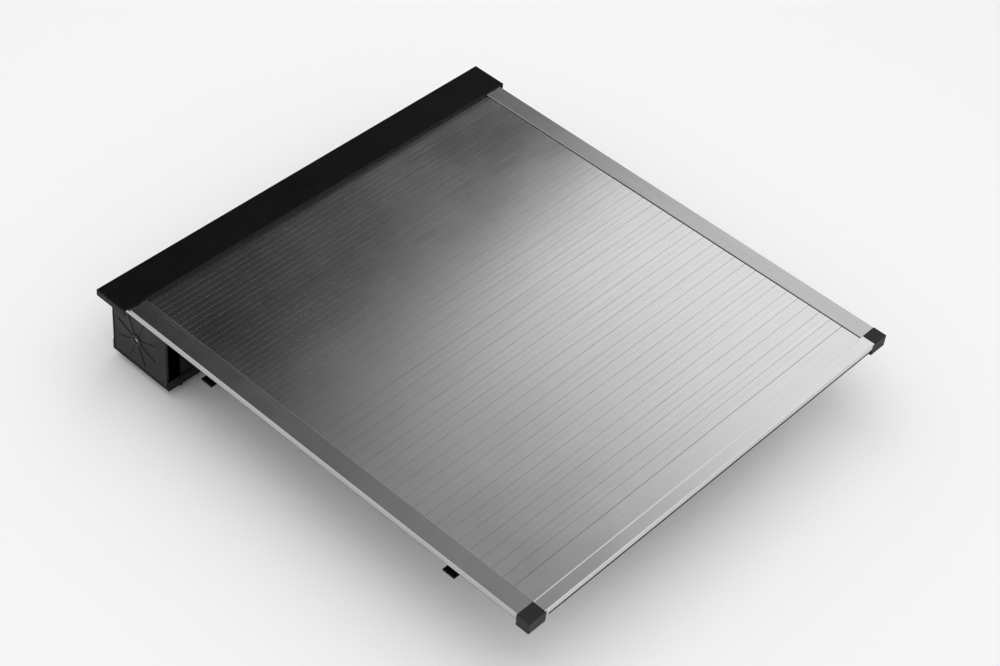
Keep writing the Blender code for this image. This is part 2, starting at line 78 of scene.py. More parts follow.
# ---------------------------------------------------------------- node trees
class Nodes:
    """A node tree that is put together with short calls."""

    def __init__(self, tree):
        self.tree = tree

    def node(self, kind, **settings):
        made = self.tree.nodes.new("ShaderNode" + kind)
        for name, value in settings.items():
            setattr(made, name, value)
        return made

    def feed(self, socket, value):
        if isinstance(value, bpy.types.NodeSocket):
            self.tree.links.new(value, socket)
        else:
            socket.default_value = value

    def math(self, operation, a, b=0.0):
        made = self.node("Math", operation=operation)
        self.feed(made.inputs[0], a)
        self.feed(made.inputs[1], b)
        return made.outputs[0]

    def spread(self, value, low, high, start=0.0, end=1.0, soft=False):
        """Maps start..end of the value to low..high, clamped at both ends."""
        made = self.node("MapRange", interpolation_type="SMOOTHSTEP" if soft else "LINEAR")
        self.feed(made.inputs["Value"], value)
        for name, number in (("From Min", start), ("From Max", end), ("To Min", low), ("To Max", high)):
            made.inputs[name].default_value = number
        return made.outputs["Result"]

    def blend(self, factor, first, second):
        made = self.node("Mix", data_type="RGBA")
        self.feed(made.inputs["Factor"], factor)
        for socket, value in ((made.inputs[6], first), (made.inputs[7], second)):
            self.feed(socket, value if isinstance(value, bpy.types.NodeSocket) else (*value, 1.0))
        return made.outputs[2]


class Look(Nodes):
    """A material with textures placed in the frame's metres."""

    def __init__(self, name, colour, roughness, metallic=0.0):
        self.material = bpy.data.materials.new(name)
        self.material.use_nodes = True
        super().__init__(self.material.node_tree)
        self.shader = self.tree.nodes["Principled BSDF"]
        self.set(Base_Color=(*colour, 1.0), Roughness=roughness, Metallic=metallic)
        self.place = self.node("TexCoord").outputs["Object"]
        self.material.diffuse_color = (*colour, 1.0)

    def set(self, **values):
        for name, value in values.items():
            self.shader.inputs[name.replace("_", " ")].default_value = value
        return self

    def mapped(self, frequency, seed=0.0):
        mapping = self.node("Mapping")
        self.feed(mapping.inputs["Vector"], self.place)
        mapping.inputs["Scale"].default_value = frequency
        mapping.inputs["Location"].default_value = (seed, seed * 0.7, seed * 1.3)
        return mapping.outputs["Vector"]

    def noise(self, frequency, detail=2.0, roughness=0.5, seed=0.0):
        """Noise from 0 to 1 with its own number of waves per metre along X, Y and Z."""
        texture = self.node("TexNoise")
        self.feed(texture.inputs["Vector"], self.mapped(frequency, seed))
        texture.inputs["Scale"].default_value = 1.0
        texture.inputs["Detail"].default_value = detail
        texture.inputs["Roughness"].default_value = roughness
        return texture.outputs["Fac"]

    def cells(self, frequency):
        """The distance to the nearest of a scatter of points, so many per metre."""
        texture = self.node("TexVoronoi")
        self.feed(texture.inputs["Vector"], self.mapped(frequency))
        texture.inputs["Scale"].default_value = 1.0
        return texture.outputs["Distance"]

    def bump(self, height, distance, strength):
        """Raises the surface by up to `distance` metres. Calls stack."""
        made = self.node("Bump")
        made.inputs["Strength"].default_value = strength
        made.inputs["Distance"].default_value = distance
        self.feed(made.inputs["Height"], height)
        normal = self.shader.inputs["Normal"]
        if normal.links:
            self.feed(made.inputs["Normal"], normal.links[0].from_socket)
        self.feed(normal, made.outputs["Normal"])
        return self

    def colour(self, value):
        self.feed(self.shader.inputs["Base Color"], value)
        return self

    def roughness(self, value):
        self.feed(self.shader.inputs["Roughness"], value)
        return self

    def grain_direction(self, direction):
        """The way the brushing runs, for the stretched highlights of brushed metal."""
        made = self.node("CombineXYZ")
        for socket, value in zip(made.inputs, direction):
            socket.default_value = value
        self.feed(self.shader.inputs["Tangent"], made.outputs[0])
        return self

    def worn_and_edge_highlight(self, rubbed_and_highlight_tone, amount, seed):
        """Faintly rubbed patches, strongest near the corners that stick out; the lighter colour there is
        partly wear and partly a painted edge highlight.
        """
        geometry = self.node("NewGeometry")
        corner = self.spread(geometry.outputs["Pointiness"], 0.0, 1.0, 0.53, 0.60)
        patches = self.spread(self.noise((60.0,) * 3, 3.0, 0.6, seed), 0.0, amount, 0.45, 0.75)
        mask = self.math("MULTIPLY", corner, patches)
        before = self.shader.inputs["Base Color"].links
        base = before[0].from_socket if before else tuple(self.shader.inputs["Base Color"].default_value[:3])
        return self.colour(self.blend(mask, base, rubbed_and_highlight_tone))


# ---------------------------------------------------------------- materials
def anodised(name, tone, grain, seed, rough):
    """Satin anodised aluminium, finely brushed along one axis."""
    look = Look(name, (tone, tone, tone * 1.01), rough, 1.0)
    streaks = look.noise([5.0 if g else 1300.0 for g in grain], 3.0, 0.6, seed)
    lines = look.noise([2.0 if g else 260.0 for g in grain], 2.0, 0.5, seed + 3)
    cloud = look.noise((4.0, 4.0, 4.0), 3.0, 0.55, seed + 7)
    light = look.spread(cloud, 0.0, 1.0, 0.3, 0.7)
    shade = look.blend(light, (tone * 0.95,) * 3, (tone * 1.04, tone * 1.04, tone * 1.05))
    drawn = look.blend(look.spread(lines, 0.0, 0.22, 0.35, 0.75), shade, (tone * 0.84,) * 3)
    look.colour(look.blend(look.spread(streaks, 0.0, 0.3, 0.35, 0.75), drawn, (tone * 0.86,) * 3))
    in_streaks = look.spread(streaks, -0.04, 0.05, 0.3, 0.7)
    in_clouds = look.spread(cloud, rough - 0.02, rough + 0.03, 0.3, 0.7)
    look.roughness(look.math("ADD", in_streaks, in_clouds))
    look.bump(streaks, 0.000006, 0.3)
    look.set(Anisotropic=0.25)
    look.grain_direction(grain)
    return look.material


def powder_coat(name, tone, seed):
    look = Look(name, (tone,) * 3, 0.38)
    peel = look.noise((420.0,) * 3, 2.0, 0.5, seed)
    grit = look.noise((1900.0,) * 3, 2.0, 0.6, seed + 2)
    cloud = look.noise((7.0,) * 3, 3.0, 0.5, seed + 5)
    look.colour(look.blend(look.spread(cloud, 0.0, 1.0, 0.3, 0.7), (tone * 0.9,) * 3, (tone * 1.15,) * 3))
    look.roughness(look.spread(cloud, 0.27, 0.32, 0.3, 0.7))
    look.bump(peel, 0.00003, 0.4).bump(grit, 0.00002, 0.5)
    look.set(Specular_IOR_Level=0.1)
    # lighter corners: partly rubbed coat, partly a painted edge highlight
    look.worn_and_edge_highlight((0.06, 0.06, 0.06), 0.4, seed + 9)
    return look.material


def moulding(name, tone, seed):
    look = Look(name, (tone,) * 3, 0.55)
    leather = look.cells((900.0,) * 3)
    cloud = look.noise((12.0,) * 3, 3.0, 0.5, seed)
    look.colour(look.blend(cloud, (tone * 0.85,) * 3, (tone * 1.3,) * 3))
    look.roughness(look.spread(cloud, 0.48, 0.64, 0.3, 0.7))
    look.bump(leather, 0.00006, 0.5)
    look.set(Specular_IOR_Level=0.3)
    return look.material


def rubber(name, tone, seed):
    look = Look(name, (tone,) * 3, 0.8)
    dust = look.noise((35.0,) * 3, 4.0, 0.6, seed)
    fine = look.noise((1100.0,) * 3, 2.0, 0.6, seed + 1)
    dusty = (tone * 3, tone * 2.9, tone * 2.7)
    look.colour(look.blend(look.spread(dust, 0.0, 0.6, 0.45, 0.8), (tone,) * 3, dusty))
    look.roughness(look.spread(dust, 0.7, 0.9, 0.3, 0.7))
    look.bump(fine, 0.00005, 0.5)
    return look.material


def zinc(name, seed):
    look = Look(name, (0.58, 0.58, 0.57), 0.35, 1.0)
    spangle = look.cells((240.0,) * 3)
    cloud = look.noise((70.0,) * 3, 3.0, 0.6, seed)
    look.colour(look.blend(cloud, (0.46, 0.46, 0.47), (0.68, 0.67, 0.63)))
    look.roughness(look.spread(cloud, 0.26, 0.48, 0.3, 0.7))
    look.bump(spangle, 0.00003, 0.3)
    return look.material


def nylon(name, seed):
    look = Look(name, (0.72, 0.71, 0.66), 0.45)
    cloud = look.noise((25.0,) * 3, 3.0, 0.5, seed)
    look.colour(look.blend(cloud, (0.66, 0.65, 0.59), (0.76, 0.75, 0.70)))
    look.roughness(look.spread(cloud, 0.38, 0.52))
    look.bump(look.noise((600.0,) * 3, 2.0, 0.5, seed + 1), 0.00003, 0.5)
    return look.material


def brass(name, seed):
    look = Look(name, (0.72, 0.55, 0.26), 0.28, 1.0)
    cloud = look.noise((160.0,) * 3, 3.0, 0.6, seed)
    look.colour(look.blend(cloud, (0.60, 0.44, 0.20), (0.78, 0.62, 0.33)))
    look.roughness(look.spread(cloud, 0.2, 0.42))
    return look.material


MATERIALS = {
    "slat_aluminium": anodised("slat_aluminium", 0.66, (1, 0, 0), 1.0, 0.11),
    # the rails' tone below the slats' is partly their own finish and partly painted shade, for the shade the
    # truck's bed walls cast on them
    "rail_aluminium": anodised("rail_aluminium", 0.50, (0, 1, 0), 11.0, 0.18),
    "black_coat": powder_coat("black_coat", 0.003, 21.0),
    "black_plastic": moulding("black_plastic", 0.010, 31.0),
    "rubber": rubber("rubber", 0.014, 41.0),
    "nylon": nylon("nylon", 51.0),
    "steel": zinc("steel", 61.0),
    "brass": brass("brass", 71.0),
}


# ---------------------------------------------------------------- shapes
def piece(name, shape, body, slot, stands_for=(), sharp=35.0):
    """Turns a bmesh into a shown piece on a body, with the finish of one of the record's slots."""
    mesh = bpy.data.meshes.new(name)
    bmesh.ops.recalc_face_normals(shape, faces=shape.faces)
    shape.to_mesh(mesh)
    shape.free()
    mesh.shade_smooth()
    mesh.set_sharp_from_angle(angle=math.radians(sharp))
    mesh.materials.append(MATERIALS[slot])
    obj = bpy.data.objects.new(name, mesh)
    bpy.context.scene.collection.objects.link(obj)
    flats = obj.modifiers.new("flat_faces_stay_flat", "WEIGHTED_NORMAL")
    flats.keep_sharp = True
    flats.weight = 100
    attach(obj, body)
    if stands_for:
        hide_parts(*stands_for)
    return obj


def instead(node, shape, sharp=35.0):
    """The shown piece for one CAD node."""
    return piece(f"{node}_look", shape, BODY_OF[node], SLOT_OF[node], (node,), sharp)


def extrude_loop(shape, loop, low, high, axis="X"):
    """Adds a closed outline extruded along an axis: (y, z) for X, (x, z) for Y, (x, y) for Z."""
    def point(uv, along):
        u, v = uv
        return {"X": (along, u, v), "Y": (u, along, v), "Z": (u, v, along)}[axis]

    rings = [[shape.verts.new(point(uv, along)) for uv in loop] for along in (low, high)]
    shape.faces.new(rings[0])
    shape.faces.new(reversed(rings[1]))
    for k in range(len(loop)):
        after = (k + 1) % len(loop)
        shape.faces.new((rings[0][k], rings[1][k], rings[1][after], rings[0][after]))


def rounded_loop(corners, steps=4):
    """An outline from (u, v, radius) corners, each with its own fillet."""
    loop = []
    for k, (u, v, radius) in enumerate(corners):
        here = Vector((u, v))
        to_last = (Vector(corners[k - 1][:2]) - here).normalized()
        to_next = (Vector(corners[(k + 1) % len(corners)][:2]) - here).normalized()
        if radius <= 0:
            loop.append((u, v))
            continue
        half = to_last.angle(to_next) / 2
        reach = radius / math.tan(half)
        centre = here + (to_last + to_next).normalized() * radius / math.sin(half)
        first, last = here + to_last * reach - centre, here + to_next * reach - centre
        start = math.atan2(first.y, first.x)
        sweep = (math.atan2(last.y, last.x) - start + math.pi) % (2 * math.pi) - math.pi
        for step in range(steps + 1):
            angle = start + sweep * step / steps
            loop.append((centre.x + radius * math.cos(angle), centre.y + radius * math.sin(angle)))
    return loop


def softened(node, width):
    """A copy of a CAD node with its long outward edges rounded."""
    shortest = 3.0 * width
    shape = bmesh.new()
    shape.from_mesh(NODES[node].data)
    bmesh.ops.remove_doubles(shape, verts=shape.verts, dist=2e-5)
    bmesh.ops.dissolve_limit(shape, angle_limit=math.radians(1.0), verts=shape.verts, edges=shape.edges)
    bmesh.ops.recalc_face_normals(shape, faces=shape.faces)
    edges = [
        e for e in shape.edges
        if len(e.link_faces) == 2 and e.is_convex and e.calc_face_angle(0) > math.radians(30)
        and e.calc_length() > shortest
    ]
    bmesh.ops.bevel(
        shape, geom=edges, offset=width, offset_type="OFFSET", segments=2, profile=0.5,
        affect="EDGES", clamp_overlap=True,
    )
    return instead(node, shape)


def circle(radius, height, steps):
    angles = (2 * math.pi * k / steps for k in range(steps))
    return [Vector((radius * math.cos(a), radius * math.sin(a), height)) for a in angles]


def bridge(shape, low, high):
    """Joins two rings of the same number of points with faces."""
    for k in range(len(low)):
        after = (k + 1) % len(low)
        shape.faces.new((low[k], low[after], high[after], high[k]))


def lathe(shape, profile, place, steps=48, closed=False):
    """Sweeps (radius, height) points right round; points on the axis close the ends."""
    rings = []
    for radius, height in profile:
        if radius < 1e-6:
            rings.append([shape.verts.new(place @ Vector((0, 0, height)))])
            continue
        rings.append([shape.verts.new(place @ point) for point in circle(radius, height, steps)])
    for low, high in zip(rings, rings[1:] + rings[:1] if closed else rings[1:]):
        for k in range(steps):
            after = (k + 1) % steps
            corners = [low[k % len(low)], low[after % len(low)], high[after % len(high)], high[k % len(high)]]
            unique = list(dict.fromkeys(corners))
            if len(unique) > 2:
                shape.faces.new(unique)
    return rings


def thread(shape, radius, pitch, low, high, place, steps=20):
    """A screw thread along the place's own Z, closed at both ends."""
    depth, rows_in_a_turn, fading_rows = 0.55 * pitch, 6, 3
    rows = []
    count = int((high - low) / pitch * rows_in_a_turn)
    for row in range(count + 1):
        z = low + (high - low) * row / count
        fade = min(1.0, row / fading_rows, (count - row) / fading_rows)
        ring = []
        for k in range(steps):
            phase = (z / pitch - k / steps) % 1.0
            crest = abs(2 * phase - 1)
            r = radius - depth * (1 - crest * fade)
            angle = 2 * math.pi * k / steps
            ring.append(shape.verts.new(place @ Vector((r * math.cos(angle), r * math.sin(angle), z))))
        rows.append(ring)
    for a, b in zip(rows, rows[1:]):
        bridge(shape, a, b)
    shape.faces.new(rows[0])
    shape.faces.new(reversed(rows[-1]))


def box(shape, low, high, place, soft=0.0):
    """A box between two corners of the place, with its edges rounded."""
    low, high = Vector(low), Vector(high)
    size = Matrix.Diagonal((*(high - low), 1.0))
    made = bmesh.ops.create_cube(shape, size=1.0, matrix=place @ Matrix.Translation((low + high) / 2) @ size)
    if soft:
        edges = {e for v in made["verts"] for e in v.link_edges}
        bmesh.ops.bevel(
            shape, geom=list(edges), offset=soft, offset_type="OFFSET", segments=3, profile=0.5,
            affect="EDGES", clamp_overlap=True,
        )


def carved(obj, cutter):
    """Cuts a bmesh, whose parts may overlap, out of a shown piece."""
    mesh = bpy.data.meshes.new("cutter")
    bmesh.ops.recalc_face_normals(cutter, faces=cutter.faces)
    cutter.to_mesh(mesh)
    cutter.free()
    tool = bpy.data.objects.new("cutter", mesh)
    bpy.context.scene.collection.objects.link(tool)
    cut = obj.modifiers.new("cut", "BOOLEAN")
    cut.operation, cut.object, cut.use_self = "DIFFERENCE", tool, True
    flats = obj.modifiers["flat_faces_stay_flat"]
    flats.show_viewport = False
    bpy.context.view_layer.update()
    done = bpy.data.meshes.new_from_object(obj.evaluated_get(bpy.context.evaluated_depsgraph_get()))
    obj.modifiers.remove(cut)
    flats.show_viewport = True
    obj.data = done
    done.set_sharp_from_angle(angle=math.radians(30))
    bpy.data.objects.remove(tool)


def at(x, y, z):
    return Matrix.Translation((x, y, z))


ALONG_X = Matrix.Rotation(math.pi / 2, 4, "Y")
ALONG_Y = Matrix.Rotation(-math.pi / 2, 4, "X")


# ---------------------------------------------------------------- curtain
PITCH = 0.0378
SLAT_HALF = 0.6840
SLAT_THICK = 0.0095
LATH_FRONT = -1.4590
SEAM = 0.00028              # half the gap between two slats
SECTIONS = 7
SLATS_PER_SECTION = 5
LEAD_HEADINGS = (-3, -36, -70, -96, -106)
WRAPPED_HEADINGS = (-130, -190, -250, -310)


def slat_profile():
    """One slat: flat top with a hairline along its middle, and feet drawn in for the hinge strips."""
    u0, u1, mid, top = SEAM, PITCH - SEAM, PITCH / 2, SLAT_THICK
    corners = [
        (0.0026, 0.0, 0.0003), (u1 - 0.0023, 0.0, 0.0003), (u1 - 0.0023, 0.0024, 0.0), (u1, 0.0034, 0.0003),
        (u1, top, 0.0003), (mid + 0.0002, top, 0.0), (mid + 0.0001, top - 0.0003, 0.0),
        (mid - 0.0001, top - 0.0003, 0.0), (mid - 0.0002, top, 0.0), (u0, top, 0.00015),
        (u0, 0.0034, 0.0003), (0.0026, 0.0024, 0.0),
    ]
    return rounded_loop(corners, 3)


SLAT_PROFILE = slat_profile()
STRIP_PROFILE = rounded_loop(
    [
        (-0.0021, 0.0004, 0.0004), (0.0021, 0.0004, 0.0004), (0.0021, 0.0021, 0.0003),
        (0.0002, 0.0026, 0.0001), (-0.0002, 0.0026, 0.0001), (-0.0021, 0.0021, 0.0003),
    ], 2
)


def placed(loop, corner, heading):
    """A (y, z) outline moved to a slat's lower rear corner and turned to its heading."""
    cosine, sine = math.cos(heading), math.sin(heading)
    y, z = corner
    return [(y + u * cosine - v * sine, z + u * sine + v * cosine) for u, v in loop]


def build_slats(node, corners, headings, slat_count):
    """Separate slats in place of the CAD's joined ones, with a strip at each corner after the first."""
    slats, strips = bmesh.new(), bmesh.new()
    strip_half = SLAT_HALF - 0.002
    for k, (corner, heading) in enumerate(zip(corners, headings)):
        if k < slat_count:
            extrude_loop(slats, placed(SLAT_PROFILE, corner, heading), -SLAT_HALF, SLAT_HALF)
        if k:
            turn = (heading + headings[k - 1]) / 2
            extrude_loop(strips, placed(STRIP_PROFILE, corner, turn), -strip_half, strip_half)
    instead(node, slats, 30.0)
    piece(f"{node}_hinge_strips", strips, BODY_OF[node], "rubber")


def lead_path():
    """The corners and headings of the slats that bend down to the spool and lie on it."""
    headings = [math.radians(a) for a in LEAD_HEADINGS + WRAPPED_HEADINGS]
    level_length = SECTIONS * SLATS_PER_SECTION * PITCH
    corner = Vector((LATH_FRONT + level_length + 0.0003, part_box("curtain_section_1")[0].z))
    corners = []
    for heading in headings:
        corners.append(tuple(corner))
        corner += PITCH * Vector((math.cos(heading), math.sin(heading)))
    return corners, headings


def build_curtain():
    """The flat sections, the slats that bend down, and those on the spool."""
    for k in range(1, SECTIONS + 1):
        low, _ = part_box(f"curtain_section_{k}")
        corners = [(low.y + j * PITCH, low.z) for j in range(SLATS_PER_SECTION + 1)]
        build_slats(f"curtain_section_{k}", corners, [0.0] * len(corners), SLATS_PER_SECTION)
    corners, headings = lead_path()
    bent = len(LEAD_HEADINGS)
    build_slats("curtain_lead", corners[:bent], headings[:bent], bent)
    wrapped = [(y, z - 0.0003) for y, z in corners[bent:]]
    build_slats("curtain_wrapped", wrapped, headings[bent:], len(wrapped))


# ---------------------------------------------------------------- latch
CAM_Y = LATH_FRONT - 0.0345
TURN_AXIS = at(0, CAM_Y, 0)
ARM_HEADINGS = (30.0, 210.0)


def build_handle():
    """A turn handle: a round boss with two tapered arms."""
    boss = bmesh.new()
    profile = [
        (0, -0.0170), (0.0083, -0.0170), (0.0083, -0.0284), (0.0089, -0.0290), (0.0118, -0.0290),
        (0.0126, -0.0286), (0.0130, -0.0278), (0.0130, -0.0126), (0.0127, -0.0119), (0.0120, -0.0116),
        (0.0062, -0.0116), (0.0060, -0.0112), (0.0060, -0.0040), (0.0057, -0.0038), (0, -0.0038),
    ]
    lathe(boss, profile, TURN_AXIS)
    arm = rounded_loop(
        [(0.0098, -0.0074, 0), (0.0418, -0.0062, 0.0058), (0.0418, 0.0062, 0.0058), (0.0098, 0.0074, 0)], 8,
    )
    for heading in ARM_HEADINGS:
        part = bmesh.new()
        extrude_loop(part, arm, -0.0267, -0.0173, "Z")
        rims = [e for e in part.edges if abs(e.verts[0].co.z - e.verts[1].co.z) < 1e-6]
        bmesh.ops.bevel(
            part, geom=rims, offset=0.0012, offset_type="OFFSET", segments=3, profile=0.5, affect="EDGES",
            clamp_overlap=True,
        )
        part.transform(TURN_AXIS @ Matrix.Rotation(math.radians(heading), 4, "Z"))
        mesh = bpy.data.meshes.new("arm")
        part.to_mesh(mesh)
        boss.from_mesh(mesh)
        part.free()
    instead("turn_handle", boss)


def build_lock():
    """A lock cylinder with a keyway."""
    barrel = bmesh.new()
    profile = [
        (0, -0.0173), (0.0076, -0.0173), (0.0080, -0.0177), (0.0080, -0.0298), (0.0077, -0.0302),
        (0.0066, -0.0302), (0.0064, -0.0299), (0, -0.0299),
    ]
    lathe(barrel, profile, TURN_AXIS)
    lock = instead("lock_cylinder", barrel)
    keyway = bmesh.new()
    box(keyway, (-0.0007, -0.0040, -0.0310), (0.0007, 0.0040, -0.0240), TURN_AXIS)
    box(keyway, (-0.0016, -0.0012, -0.0310), (0.0003, 0.0008, -0.0240), TURN_AXIS)
    carved(lock, keyway)


def cross_screw(node, x):
    """A pan head screw seen from below, with a cross recess."""
    place = at(x, CAM_Y, 0)
    under = -0.0113
    shape = bmesh.new()
    head = [(0, under - 0.0022), (0.0018, under - 0.0021), (0.0031, under - 0.0016), (0.0040, under - 0.0008)]
    profile = [*head, (0.0042, under), (0.0020, under), (0.0020, 0.0012), (0, 0.0012)]
    lathe(shape, profile, place, 32)
    screw = instead(node, shape)
    cross = bmesh.new()
    box(cross, (-0.0019, -0.0004, under - 0.0030), (0.0019, 0.0004, under - 0.0010), place)
    box(cross, (-0.0004, -0.0019, under - 0.0031), (0.0004, 0.0019, under - 0.0011), place)
    carved(screw, cross)


# ---------------------------------------------------------------- rails and clamps
def build_wipers_and_gap_shade():
    """Black lips under the rails' edges that sweep the slats. Their black is also painted shade: it stands in
    for the shadow the lips cast into the gap.
    """
    lip = rounded_loop(
        [(0.6672, 0.0159, 0.0003), (0.6705, 0.0165, 0.0003), (0.6705, 0.0171, 0), (0.6672, 0.0171, 0)], 3
    )
    for side, suffix in SIDES:
        shape = bmesh.new()
        extrude_loop(shape, [(side * x, z) for x, z in lip], -1.5225, -0.1160, "Y")
        piece(f"rail_wiper_gap_shade_{suffix}", shape, "rails_and_canister", "rubber")


def hex_nut(place, steps=48):
    """An M6 nut with chamfered corners and a chamfered hole."""
    low, high, half_flats, chamfered = -0.0393, -0.0343, 0.00502, 0.0050
    nut, rings = bmesh.new(), []
    for z, limit in ((low, chamfered), (low + 0.0005, 0.0058), (high - 0.0005, 0.0058), (high, chamfered)):
        ring = []
        for k in range(steps):
            angle = 2 * math.pi * k / steps
            flat = half_flats / math.cos((angle % (math.pi / 3)) - math.pi / 6)
            r = min(flat, limit)
            ring.append(nut.verts.new(place @ Vector((r * math.cos(angle), r * math.sin(angle), z))))
        rings.append(ring)
    for z, r in ((high, 0.0036), (high - 0.0003, 0.0033), (low + 0.0003, 0.0033), (low, 0.0036)):
        rings.append([nut.verts.new(place @ point) for point in circle(r, z, steps)])
    for a, b in zip(rings, rings[1:] + rings[:1]):
        bridge(nut, a, b)
    return nut


def build_clamps():
    """T-bolts with real threads and chamfered nuts."""
    for side, name, y in CLAMPS:
        place = at(side * CLAMP_X, y, 0)
        bolt = bmesh.new()
        box(bolt, (-0.0110, -0.0090, -0.0167), (0.0110, 0.0090, -0.0117), place, soft=0.0008)
        thread(bolt, 0.0030, 0.0010, -0.0410, -0.0160, place)
        instead(f"clamp_bolt_{name}", bolt, 50.0)
        instead(f"clamp_nut_{name}", hex_nut(place))


# ---------------------------------------------------------------- canister and spool
SHAFT_LOW, SHAFT_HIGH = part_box("spool_shaft")
AXLE_Y, AXLE_Z = (SHAFT_LOW.y + SHAFT_HIGH.y) / 2, (SHAFT_LOW.z + SHAFT_HIGH.z) / 2
AXLE = at(0, AXLE_Y, AXLE_Z)
PAN_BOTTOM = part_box("canister_bottom_pan")[0].z
SHAFT_R = 0.0080
SHAFT_END = 0.6982
BORE_R = 0.0083
END_PLATE_OUTSIDE = 0.6985


def turned(node, profile, closed=True, steps=64):
    """A part turned on the spool's axis from (radius, x) points."""
    shape = bmesh.new()
    lathe(shape, profile, AXLE @ ALONG_X, steps, closed)
    instead(node, shape)


def edge_ring(outer, inner, low, high, soft=0.0005):
    """The closed profile of a ring with small chamfers."""
    return [
        (inner, low + soft), (inner + soft, low), (outer - soft, low), (outer, low + soft),
        (outer, high - soft), (outer - soft, high), (inner + soft, high), (inner, high - soft),
    ]


def build_spool():
    """The tube, its hubs, the spring's anchor and the fixed shaft."""
    turned("spool_tube", edge_ring(0.0320, 0.0290, -0.6600, 0.6600))
    for side, suffix in SIDES:
        low, high = sorted((side * 0.6450, side * 0.6597))
        turned(f"spool_hub_{suffix}", edge_ring(0.0282, BORE_R, low, high))
    turned("spring_anchor", edge_ring(0.0160, BORE_R, 0.2800, 0.2950))
    end, chamfer = SHAFT_END, 0.0006
    shaft = [
        (0, -end), (SHAFT_R - chamfer, -end), (SHAFT_R, -end + chamfer),
        (SHAFT_R, end - chamfer), (SHAFT_R - chamfer, end), (0, end),
    ]
    turned("spool_shaft", shaft, False)


def build_spring(turns=16, steps=24, sides=10):
    """The torsion spring, a round wire wound about the shaft."""
    coil_radius, wire_radius = 0.0175, 0.0018
    start, length = 0.3000, 0.3400
    sideways = Vector((1, 0, 0))
    coil, rings = bmesh.new(), []
    for k in range(turns * steps + 1):
        angle = 2 * math.pi * k / steps
        out = Vector((0, math.cos(angle), math.sin(angle)))
        centre = Vector((start + length * k / (turns * steps), AXLE_Y, AXLE_Z)) + out * coil_radius
        ring = []
        for j in range(sides):
            spoke = 2 * math.pi * j / sides
            offset = (out * math.cos(spoke) + sideways * math.sin(spoke)) * wire_radius
            ring.append(coil.verts.new(centre + offset))
        rings.append(ring)
    for a, b in zip(rings, rings[1:]):
        bridge(coil, a, b)
    coil.faces.new(rings[0])
    coil.faces.new(reversed(rings[-1]))
    instead("torsion_spring", coil)


def build_drains():
    """Flanged spigots with barbs for a hose."""
    top, bore, end = PAN_BOTTOM - 0.0003, 0.0065, -0.2500
    profile = [
        (bore, top), (0.0155, top), (0.0160, top - 0.0005), (0.0160, top - 0.0025), (0.0155, top - 0.0030),
        (0.0095, top - 0.0030), (0.0090, top - 0.0036), (0.0090, -0.2380), (0.0097, -0.2382),
        (0.0088, -0.2420), (0.0095, -0.2422), (0.0086, -0.2460), (0.0093, -0.2462),
        (0.0080, end), (bore, end),
    ]
    for side, suffix in SIDES:
        shape = bmesh.new()
        lathe(shape, profile, at(side * 0.640, -0.212, 0), 48, True)
        instead(f"drain_spigot_{suffix}", shape)


def rivets(name, y, turn):
    """A row of domed rivet heads low on one of the canister's long sides."""
    head = [(0.0030, 0.0), (0.0029, 0.0004), (0.0022, 0.0010), (0.0011, 0.0014), (0, 0.0015)]
    shape = bmesh.new()
    for k in range(12):
        place = at(-0.66 + 0.12 * k, y, PAN_BOTTOM + 0.026) @ ALONG_Y @ Matrix.Rotation(turn, 4, "X")
        lathe(shape, head, place, 20)
    piece(name, shape, "rails_and_canister", "black_coat")


def build_end_ribs():
    """Moulded ribs and a bearing boss on the outside of each end plate."""
    rooted, boss_top, rib_top = (END_PLATE_OUTSIDE + height for height in (-0.0005, 0.0028, 0.0018))
    half, soft, spokes = 0.0011, 0.0004, 8
    rear, front, low, high, step_z, step_y = -0.2290, -0.0100, -0.2190, 0.0120, -0.0260, -0.1010
    border = (
        (rear, front, low, low + 2 * half), (rear, rear + 2 * half, low, step_z),
        (front - 2 * half, front, low, high), (rear, step_y, step_z - 2 * half, step_z),
    )
    for side, suffix in SIDES:
        shape = bmesh.new()
        place = Matrix.Diagonal((side, 1, 1, 1))
        lathe(shape, edge_ring(0.0190, BORE_R, rooted, boss_top, soft), place @ AXLE @ ALONG_X, 48, True)
        for k in range(spokes):
            turn = AXLE @ Matrix.Rotation(2 * math.pi * (k + 0.5) / spokes, 4, "X")
            box(shape, (rooted, 0.0180, -half), (rib_top, 0.0820, half), place @ turn, soft=soft)
        for y0, y1, z0, z1 in border:
            box(shape, (rooted, y0, z0), (rib_top, y1, z1), place, soft=soft)
        piece(f"end_plate_ribs_{suffix}", shape, "rails_and_canister", "black_plastic")


# ---------------------------------------------------------------- everything else
def dress_frame():
    """Every CAD node gets the finish of its slot."""
    for name, obj in NODES.items():
        obj.data.materials.clear()
        obj.data.materials.append(MATERIALS[SLOT_OF[name]])


def soften_all():
    """Rounded copies of the nodes that have no finer shape of their own."""
    widths = {
        0.0004: ["side_rail_left", "side_rail_right", "end_lath", "mouth_guide_bar", "bulkhead_seal"],
        0.0006: [
            "canister_front_panel", "canister_rear_panel", "canister_bottom_pan", "canister_end_plate_left",
            "canister_end_plate_right", "rail_foam_seal_left", "rail_foam_seal_right", "tailgate_seal",
        ],
        0.0008: ["canister_lid", "latch_cover", "latch_housing"],
        0.0003: [
            "lath_end_plug_left", "lath_end_plug_right", "rail_wear_strip_left", "rail_wear_strip_right",
        ],
        0.0010: [f"clamp_bracket_{name}" for _, name, _ in CLAMPS],
    }
    for width, nodes in widths.items():
        for node in nodes:
            softened(node, width)


dress_frame()
build_curtain()
build_handle()
build_lock()
for cross_side, cross_suffix in SIDES:
    cross_screw(f"latch_screw_{cross_suffix}", cross_side * 0.0480)
# the rail wipers are real lips and also painted shade along the gap beside the rails
build_wipers_and_gap_shade()
build_clamps()
build_spool()
build_spring()
build_drains()
rivets("pan_rivets_rear", -0.2350, math.pi)
rivets("pan_rivets_front", -0.0040, 0.0)
build_end_ribs()
soften_all()


